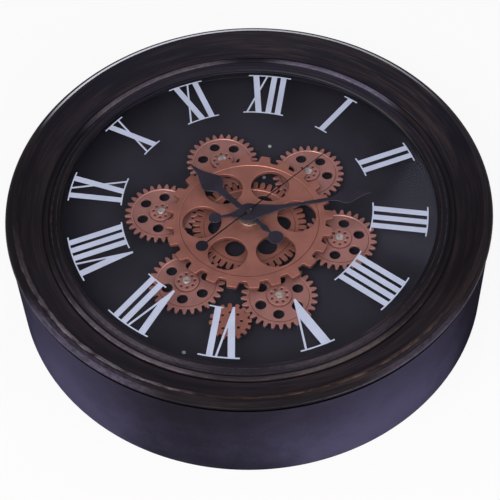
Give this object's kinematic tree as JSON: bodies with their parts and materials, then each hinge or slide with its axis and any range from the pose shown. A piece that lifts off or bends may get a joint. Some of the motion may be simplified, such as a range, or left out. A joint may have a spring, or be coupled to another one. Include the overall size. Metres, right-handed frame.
{
  "type": "gear clock",
  "caption": "Round wall clock lying on its back, with a deep drum and moulded bezel, a glazed well, spade hands and an open train of meshed copper gears driven behind the dial.",
  "frame": {"origin": "centre of the plane of the back rim, which the clock lies on", "axes": "+Z out of the dial towards the viewer of the clock, +Y towards twelve o'clock, +X towards three o'clock"},
  "size_m": [0.4599, 0.46, 0.1139],
  "materials": {
    "case_paint": "satin dark violet-grey paint, faint vertical streaks",
    "bezel_paint": "dark bronze-black paint, brushed, copper worn through on the ridge",
    "clear_glass": "clear, flat",
    "gasket_rubber": "matt black",
    "inner_black": "matt black",
    "dial_black": "fibreboard painted matt black",
    "bright_steel": "bright plated",
    "zinc_steel": "zinc plated, satin",
    "black_plastic": "fine moulded grain",
    "cell_jacket": "printed jacket without lettering",
    "turned_brass": "turned, satin",
    "copper_nut": "copper coloured, satin",
    "lead_sheath": "smooth red sheath",
    "back_fibreboard": "dark brown fibreboard",
    "gear_copper": "matt copper paint, slightly worn teeth",
    "hand_black": "satin black, bright cut edges"
  },
  "bodies": {
    "case": {"drum_shell": "case_paint", "bezel_ring": "bezel_paint", "glass_lens": "clear_glass", "glass_gasket": "gasket_rubber", "glass_retainer": "inner_black", "dial_ring": "inner_black", "dial_plate": "dial_black", "dial_ring_screws": "bright_steel", "fixing_screws": "bright_steel", "planet_posts": "zinc_steel", "post_nuts": "bright_steel", "planet_screws": "bright_steel", "movement_case": "black_plastic", "movement_cell": "cell_jacket", "centre_bush": "turned_brass", "dial_nut": "turned_brass", "thrust_washer": "turned_brass", "hub_nut": "copper_nut", "motor_case": "zinc_steel", "motor_strap": "zinc_steel", "battery_box": "black_plastic", "gear_cells": "cell_jacket", "battery_contacts": "bright_steel", "motor_leads": "lead_sheath", "back_board": "back_fibreboard", "back_screws": "bright_steel", "hanger_plate": "zinc_steel", "hanger_screws": "bright_steel"},
    "sun_train": {"front_gear": "gear_copper", "sun_gear": "gear_copper", "gear_sleeve": "turned_brass"},
    "planet_1": {"planet_gear_1": "gear_copper"},
    "planet_2": {"planet_gear_2": "gear_copper"},
    "planet_3": {"planet_gear_3": "gear_copper"},
    "planet_4": {"planet_gear_4": "gear_copper"},
    "planet_5": {"planet_gear_5": "gear_copper"},
    "planet_6": {"planet_gear_6": "gear_copper"},
    "pinion": {"drive_pinion": "gear_copper", "motor_shaft": "bright_steel"},
    "hour": {"hour_hand": "hand_black", "hour_pipe": "turned_brass"},
    "minute": {"minute_hand": "hand_black", "minute_arbor": "turned_brass"},
    "second": {"second_hand": "hand_black", "second_arbor": "turned_brass", "hub_cap": "hand_black"},
    "knob": {"set_knob": "black_plastic"}
  },
  "joints": [
    {"name": "sun_spin", "type": "hinge", "parent": "case", "child": "sun_train", "pos_m": [0, 0, 0.06], "axis": [0, 0, 1], "continuous": true},
    {"name": "planet_1_spin", "type": "hinge", "parent": "case", "child": "planet_1", "pos_m": [0.08865, -0.00511, 0.06], "axis": [0, 0, 1], "continuous": true},
    {"name": "planet_2_spin", "type": "hinge", "parent": "case", "child": "planet_2", "pos_m": [0.04875, 0.07422, 0.06], "axis": [0, 0, 1], "continuous": true},
    {"name": "planet_3_spin", "type": "hinge", "parent": "case", "child": "planet_3", "pos_m": [-0.0399, 0.07933, 0.06], "axis": [0, 0, 1], "continuous": true},
    {"name": "planet_4_spin", "type": "hinge", "parent": "case", "child": "planet_4", "pos_m": [-0.08865, 0.00511, 0.06], "axis": [0, 0, 1], "continuous": true},
    {"name": "planet_5_spin", "type": "hinge", "parent": "case", "child": "planet_5", "pos_m": [-0.04875, -0.07422, 0.06], "axis": [0, 0, 1], "continuous": true},
    {"name": "planet_6_spin", "type": "hinge", "parent": "case", "child": "planet_6", "pos_m": [0.0399, -0.07933, 0.06], "axis": [0, 0, 1], "continuous": true},
    {"name": "pinion_spin", "type": "hinge", "parent": "case", "child": "pinion", "pos_m": [-0.00113, -0.11256, 0.06], "axis": [0, 0, 1], "continuous": true},
    {"name": "minute_spin", "type": "hinge", "parent": "case", "child": "minute", "pos_m": [0, 0, 0.06], "axis": [0, 0, 1], "continuous": true},
    {"name": "hour_spin", "type": "hinge", "parent": "case", "child": "hour", "pos_m": [0, 0, 0.06], "axis": [0, 0, 1], "continuous": true},
    {"name": "second_spin", "type": "hinge", "parent": "case", "child": "second", "pos_m": [0, 0, 0.06], "axis": [0, 0, 1], "continuous": true},
    {"name": "knob_spin", "type": "hinge", "parent": "case", "child": "knob", "pos_m": [0, 0.014, 0.06], "axis": [0, 0, 1], "continuous": true}
  ],
  "couplings": [
    {"joint": "planet_1_spin", "follows": "sun_spin", "ratio": -1.6429},
    {"joint": "planet_2_spin", "follows": "sun_spin", "ratio": -1.6429},
    {"joint": "planet_3_spin", "follows": "sun_spin", "ratio": -1.6429},
    {"joint": "planet_4_spin", "follows": "sun_spin", "ratio": -1.6429},
    {"joint": "planet_5_spin", "follows": "sun_spin", "ratio": -1.6429},
    {"joint": "planet_6_spin", "follows": "sun_spin", "ratio": -1.6429},
    {"joint": "pinion_spin", "follows": "sun_spin", "ratio": 2.875},
    {"joint": "hour_spin", "follows": "minute_spin", "ratio": 0.083333},
    {"joint": "knob_spin", "follows": "minute_spin", "ratio": -2}
  ]
}
